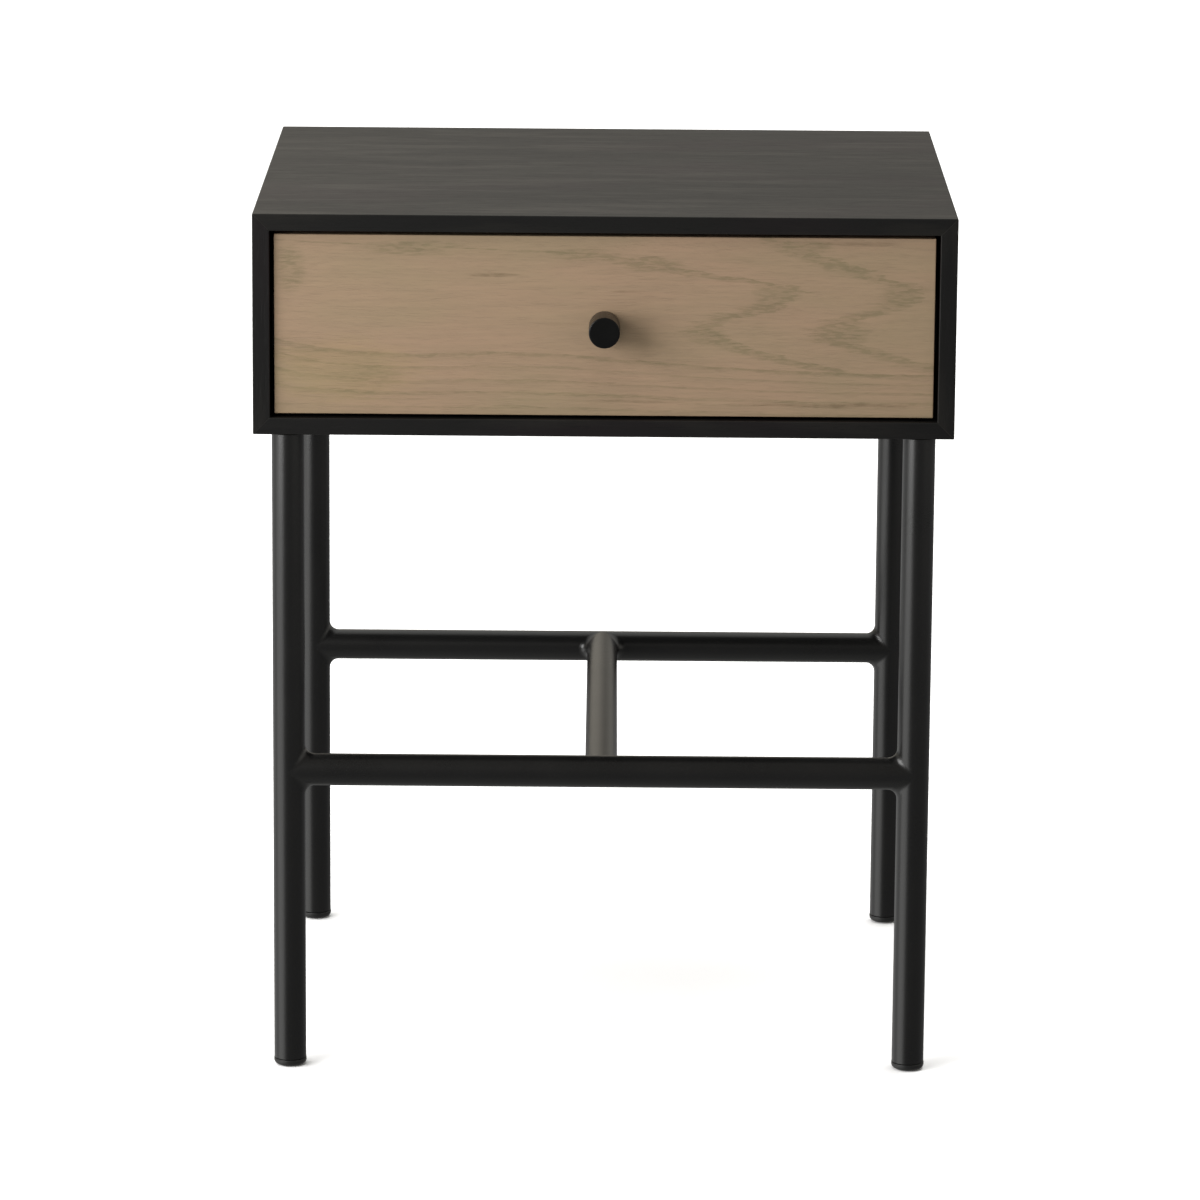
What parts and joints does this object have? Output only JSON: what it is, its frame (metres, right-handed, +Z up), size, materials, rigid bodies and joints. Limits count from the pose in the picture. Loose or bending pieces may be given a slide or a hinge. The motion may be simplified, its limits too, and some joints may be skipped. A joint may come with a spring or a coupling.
{
  "type": "side table with drawer",
  "caption": "Side table: black-stained mitred oak case with an inset pale oak drawer and round knob, on a black round-tube frame with an H stretcher.",
  "frame": {"origin": "on the floor, under the middle of the table's bounding box with the knob included", "axes": "+X to the table's right as seen from the front, +Y towards its back (the drawer opens along -Y), +Z up"},
  "size_m": [0.452, 0.4008, 0.568],
  "materials": {
    "black_oak": "black-stained oak veneer, matt lacquer, fine grain showing",
    "natural_oak": "pale oak veneer with cathedral grain, matt lacquer",
    "birch_ply": "plain birch plywood, sanded",
    "black_fibreboard": "black-painted fibreboard, matt",
    "black_powder_coat": "satin black powder coat, faint texture",
    "knob_black": "matt black",
    "foot_plastic": "moulded black plastic",
    "zinc_steel": "bright zinc-plated screws",
    "ball_steel": "bright steel cage and balls",
    "black_steel": "black-finished steel of the slide rails, bolts and plugs"
  },
  "bodies": {
    "cabinet": {"top_panel": "black_oak", "bottom_panel": "black_oak", "left_side_panel": "black_oak", "right_side_panel": "black_oak", "back_panel": "black_fibreboard", "front_left_leg": "black_powder_coat", "front_right_leg": "black_powder_coat", "rear_left_leg": "black_powder_coat", "rear_right_leg": "black_powder_coat", "front_stretcher": "black_powder_coat", "rear_stretcher": "black_powder_coat", "centre_stretcher": "black_powder_coat", "front_left_leg_plug": "black_steel", "front_right_leg_plug": "black_steel", "rear_left_leg_plug": "black_steel", "rear_right_leg_plug": "black_steel", "front_left_leg_bolt": "black_steel", "front_right_leg_bolt": "black_steel", "rear_left_leg_bolt": "black_steel", "rear_right_leg_bolt": "black_steel", "front_left_foot": "foot_plastic", "front_right_foot": "foot_plastic", "rear_left_foot": "foot_plastic", "rear_right_foot": "foot_plastic", "left_outer_rail": "black_steel", "right_outer_rail": "black_steel", "left_front_case_screw": "zinc_steel", "left_rear_case_screw": "zinc_steel", "right_front_case_screw": "zinc_steel", "right_rear_case_screw": "zinc_steel"},
    "drawer": {"drawer_front": "natural_oak", "drawer_inner_front": "birch_ply", "drawer_left_side": "birch_ply", "drawer_right_side": "birch_ply", "drawer_back": "birch_ply", "drawer_bottom": "birch_ply", "knob": "knob_black", "knob_screw": "zinc_steel", "front_left_fixing_screw": "zinc_steel", "front_right_fixing_screw": "zinc_steel", "left_inner_rail": "black_steel", "right_inner_rail": "black_steel", "left_front_drawer_screw": "zinc_steel", "left_rear_drawer_screw": "zinc_steel", "right_front_drawer_screw": "zinc_steel", "right_rear_drawer_screw": "zinc_steel"},
    "left_middle_rail_body": {"left_middle_rail": "black_steel"},
    "left_outer_ball_cage_body": {"left_outer_ball_cage": "ball_steel"},
    "left_inner_ball_cage_body": {"left_inner_ball_cage": "ball_steel"},
    "right_middle_rail_body": {"right_middle_rail": "black_steel"},
    "right_outer_ball_cage_body": {"right_outer_ball_cage": "ball_steel"},
    "right_inner_ball_cage_body": {"right_inner_ball_cage": "ball_steel"}
  },
  "joints": [
    {"name": "drawer_slide", "type": "slide", "parent": "cabinet", "child": "drawer", "axis": [0, -1, 0], "range_m": [0, 0.3]},
    {"name": "left_middle_rail_slide", "type": "slide", "parent": "cabinet", "child": "left_middle_rail_body", "axis": [0, -1, 0], "range_m": [0, 0.1505]},
    {"name": "left_outer_ball_cage_slide", "type": "slide", "parent": "cabinet", "child": "left_outer_ball_cage_body", "axis": [0, -1, 0], "range_m": [0, 0.0755]},
    {"name": "left_inner_ball_cage_slide", "type": "slide", "parent": "cabinet", "child": "left_inner_ball_cage_body", "axis": [0, -1, 0], "range_m": [0, 0.2255]},
    {"name": "right_middle_rail_slide", "type": "slide", "parent": "cabinet", "child": "right_middle_rail_body", "axis": [0, -1, 0], "range_m": [0, 0.1505]},
    {"name": "right_outer_ball_cage_slide", "type": "slide", "parent": "cabinet", "child": "right_outer_ball_cage_body", "axis": [0, -1, 0], "range_m": [0, 0.0755]},
    {"name": "right_inner_ball_cage_slide", "type": "slide", "parent": "cabinet", "child": "right_inner_ball_cage_body", "axis": [0, -1, 0], "range_m": [0, 0.2255]}
  ],
  "couplings": [
    {"joint": "left_middle_rail_slide", "follows": "drawer_slide", "ratio": 0.5},
    {"joint": "left_outer_ball_cage_slide", "follows": "drawer_slide", "ratio": 0.25},
    {"joint": "left_inner_ball_cage_slide", "follows": "drawer_slide", "ratio": 0.75},
    {"joint": "right_middle_rail_slide", "follows": "drawer_slide", "ratio": 0.5},
    {"joint": "right_outer_ball_cage_slide", "follows": "drawer_slide", "ratio": 0.25},
    {"joint": "right_inner_ball_cage_slide", "follows": "drawer_slide", "ratio": 0.75}
  ]
}
